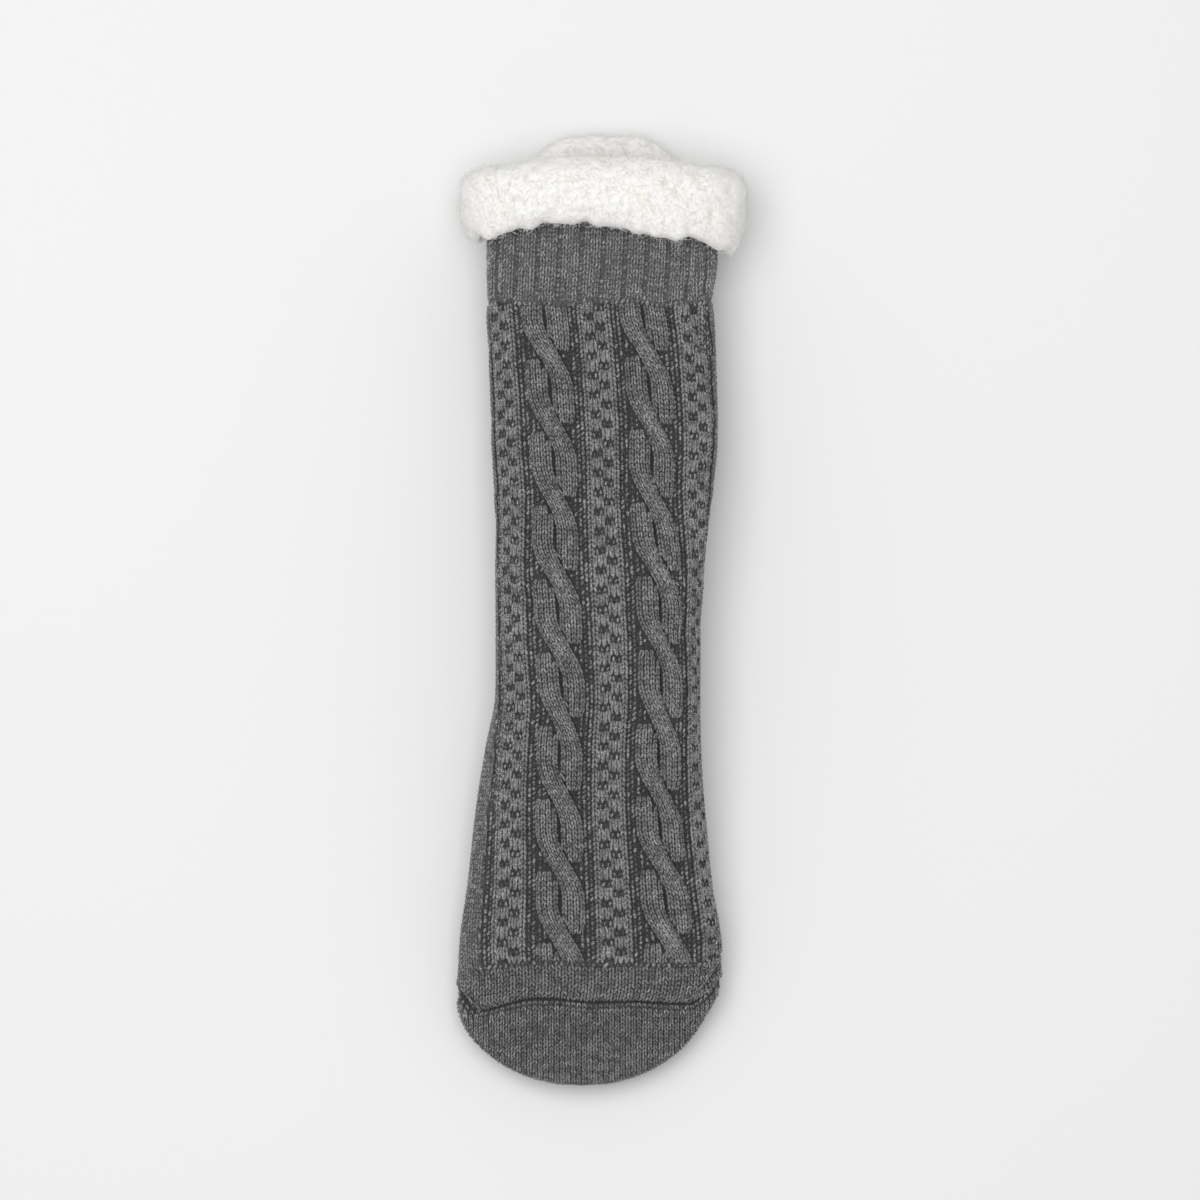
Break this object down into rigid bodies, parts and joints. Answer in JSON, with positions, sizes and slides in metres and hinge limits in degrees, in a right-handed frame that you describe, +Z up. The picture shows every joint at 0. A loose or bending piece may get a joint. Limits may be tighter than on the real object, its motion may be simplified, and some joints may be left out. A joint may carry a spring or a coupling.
{
  "type": "slipper sock",
  "caption": "Long cable-knit slipper sock, hollow and open at the collar, with a linked plain toe cap and a turned-down cuff of sherpa fleece; it lies empty on its sole.",
  "frame": {"origin": "on the floor, under the middle of the heel", "axes": "+Y from the heel to the collar, so the toe points to -Y; +Z up out of the sole; +X to the right seen from above with the collar up"},
  "size_m": [0.1279, 0.4203, 0.0594],
  "materials": {
    "grey_knit": "charcoal heather acrylic knit with cables, seed-stitch columns and a ribbed band",
    "plain_knit": "the same charcoal yarn in plain stitch",
    "sherpa_fleece": "curly off-white sherpa pile"
  },
  "bodies": {
    "root": {"knit_upper_and_sole": "grey_knit", "toe_cap": "plain_knit", "sherpa_cuff": "sherpa_fleece"}
  },
  "joints": []
}
